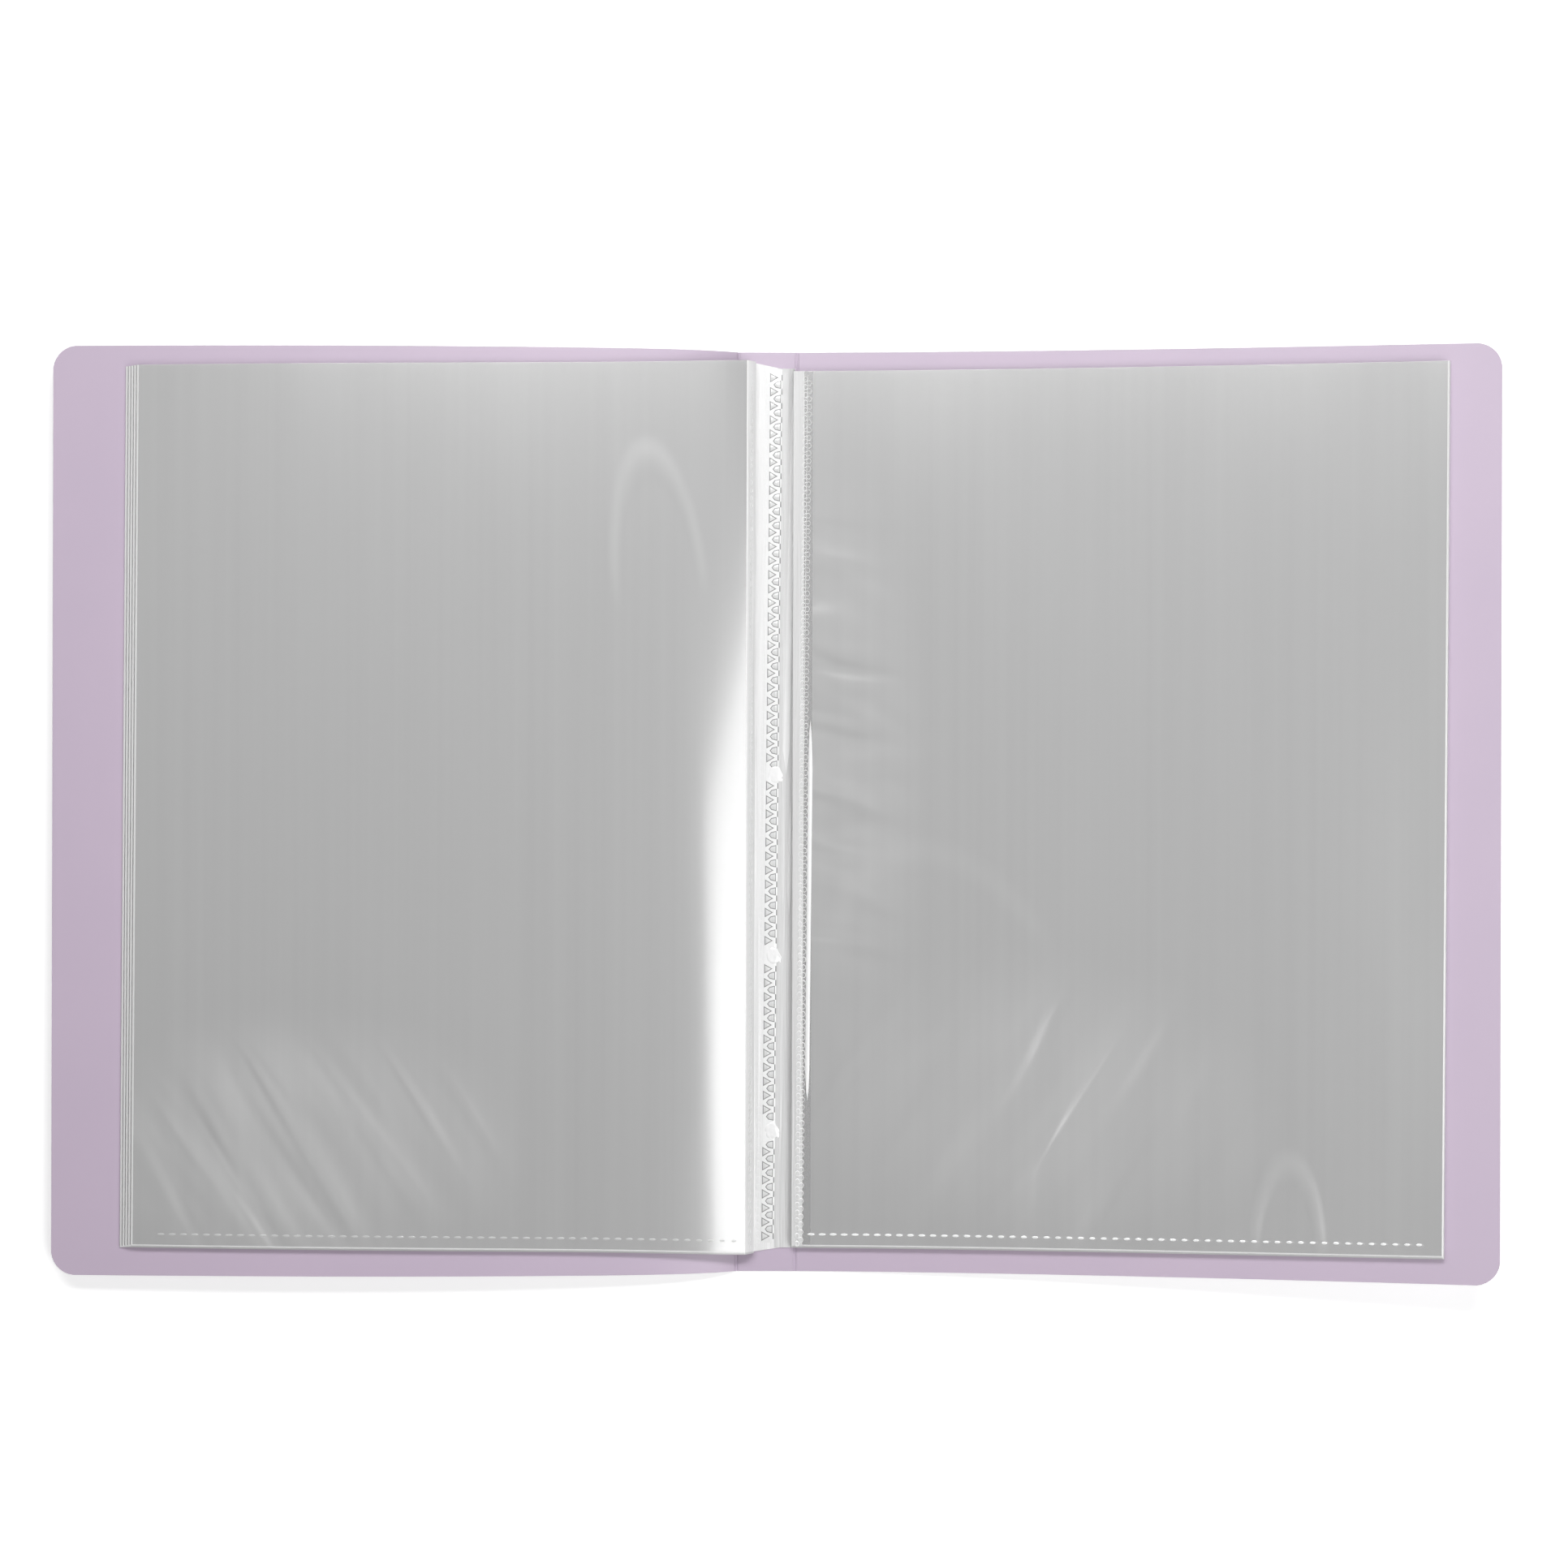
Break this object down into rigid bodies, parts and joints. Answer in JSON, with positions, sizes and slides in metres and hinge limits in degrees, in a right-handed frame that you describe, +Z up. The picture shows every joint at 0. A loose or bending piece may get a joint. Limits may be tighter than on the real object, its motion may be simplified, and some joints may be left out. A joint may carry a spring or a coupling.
{
  "type": "document folder",
  "caption": "Open A4 display book: one creased translucent plastic cover with a spine, and clear film pockets bound in the gutter by a zig-zag weld.",
  "frame": {"origin": "middle of the underside of the spine panel, which is what the open book rests on", "axes": "+X from the spine to the back cover, +Y along the spine to the pockets' mouths, +Z up out of the open pages"},
  "size_m": [0.4954, 0.32, 0.0262],
  "materials": {
    "cover": "translucent lilac polypropylene sheet, satin, very fine emboss",
    "pocket_film": "thin clear polypropylene film, hazy and glossy, soft wrinkles",
    "weld": "film melted clear and white by the welding tool, dotted or dashed"
  },
  "bodies": {
    "spine": {"spine_panel": "cover", "binding_strip": "pocket_film", "zigzag_weld": "weld"},
    "front_cover": {"front_cover": "cover"},
    "back_cover": {"back_cover": "cover"},
    "leaf_01": {"leaf_01_front_film": "pocket_film", "leaf_01_rear_film": "pocket_film", "leaf_01_outer_fold": "pocket_film", "leaf_01_spine_seam": "weld", "leaf_01_bottom_weld": "weld"},
    "leaf_02": {"leaf_02_front_film": "pocket_film", "leaf_02_rear_film": "pocket_film", "leaf_02_outer_fold": "pocket_film", "leaf_02_spine_seam": "weld", "leaf_02_bottom_weld": "weld"},
    "leaf_03": {"leaf_03_front_film": "pocket_film", "leaf_03_rear_film": "pocket_film", "leaf_03_outer_fold": "pocket_film", "leaf_03_spine_seam": "weld", "leaf_03_bottom_weld": "weld"},
    "leaf_04": {"leaf_04_front_film": "pocket_film", "leaf_04_rear_film": "pocket_film", "leaf_04_outer_fold": "pocket_film", "leaf_04_spine_seam": "weld", "leaf_04_bottom_weld": "weld"},
    "leaf_05": {"leaf_05_front_film": "pocket_film", "leaf_05_rear_film": "pocket_film", "leaf_05_outer_fold": "pocket_film", "leaf_05_spine_seam": "weld", "leaf_05_bottom_weld": "weld"},
    "leaf_06": {"leaf_06_front_film": "pocket_film", "leaf_06_rear_film": "pocket_film", "leaf_06_outer_fold": "pocket_film", "leaf_06_spine_seam": "weld", "leaf_06_bottom_weld": "weld"},
    "leaf_07": {"leaf_07_front_film": "pocket_film", "leaf_07_rear_film": "pocket_film", "leaf_07_outer_fold": "pocket_film", "leaf_07_spine_seam": "weld", "leaf_07_bottom_weld": "weld"},
    "leaf_08": {"leaf_08_front_film": "pocket_film", "leaf_08_rear_film": "pocket_film", "leaf_08_outer_fold": "pocket_film", "leaf_08_spine_seam": "weld", "leaf_08_bottom_weld": "weld"},
    "leaf_09": {"leaf_09_front_film": "pocket_film", "leaf_09_rear_film": "pocket_film", "leaf_09_outer_fold": "pocket_film", "leaf_09_spine_seam": "weld", "leaf_09_bottom_weld": "weld"},
    "leaf_10": {"leaf_10_front_film": "pocket_film", "leaf_10_rear_film": "pocket_film", "leaf_10_outer_fold": "pocket_film", "leaf_10_spine_seam": "weld", "leaf_10_bottom_weld": "weld"}
  },
  "joints": [
    {"name": "front_cover_hinge", "type": "hinge", "parent": "spine", "child": "front_cover", "pos_m": [-0.01015, 0, 0.0007], "axis": [0, -1, 0], "range_deg": [-88.3, 0]},
    {"name": "back_cover_hinge", "type": "hinge", "parent": "spine", "child": "back_cover", "pos_m": [0.01015, 0, 0.0007], "axis": [0, 1, 0], "range_deg": [-84.5, 0]},
    {"name": "leaf_01_turn", "type": "hinge", "parent": "spine", "child": "leaf_01", "pos_m": [-0.0042, 0, 0.0013], "axis": [0, -1, 0], "range_deg": [-88.3, 0]},
    {"name": "leaf_02_turn", "type": "hinge", "parent": "leaf_01", "child": "leaf_02", "pos_m": [-0.00418, 0, 0.0021], "axis": [0, 1, 0], "range_deg": [0, 20]},
    {"name": "leaf_03_turn", "type": "hinge", "parent": "leaf_02", "child": "leaf_03", "pos_m": [-0.00415, 0, 0.0029], "axis": [0, 1, 0], "range_deg": [0, 20]},
    {"name": "leaf_04_turn", "type": "hinge", "parent": "leaf_03", "child": "leaf_04", "pos_m": [-0.00413, 0, 0.0037], "axis": [0, 1, 0], "range_deg": [0, 20]},
    {"name": "leaf_05_turn", "type": "hinge", "parent": "leaf_04", "child": "leaf_05", "pos_m": [-0.00411, 0, 0.0045], "axis": [0, 1, 0], "range_deg": [0, 20]},
    {"name": "leaf_10_turn", "type": "hinge", "parent": "spine", "child": "leaf_10", "pos_m": [0.009, 0, 0.0013], "axis": [0, 1, 0], "range_deg": [-84.5, 0]},
    {"name": "leaf_09_turn", "type": "hinge", "parent": "leaf_10", "child": "leaf_09", "pos_m": [0.00892, 0, 0.0021], "axis": [0, -1, 0], "range_deg": [0, 20]},
    {"name": "leaf_08_turn", "type": "hinge", "parent": "leaf_09", "child": "leaf_08", "pos_m": [0.00885, 0, 0.00289], "axis": [0, -1, 0], "range_deg": [0, 20]},
    {"name": "leaf_07_turn", "type": "hinge", "parent": "leaf_08", "child": "leaf_07", "pos_m": [0.00877, 0, 0.00369], "axis": [0, -1, 0], "range_deg": [0, 20]},
    {"name": "leaf_06_turn", "type": "hinge", "parent": "leaf_07", "child": "leaf_06", "pos_m": [0.00869, 0, 0.00449], "axis": [0, -1, 0], "range_deg": [0, 20]}
  ],
  "couplings": [
    {"joint": "leaf_01_turn", "follows": "front_cover_hinge", "ratio": 1},
    {"joint": "leaf_10_turn", "follows": "back_cover_hinge", "ratio": 1}
  ]
}
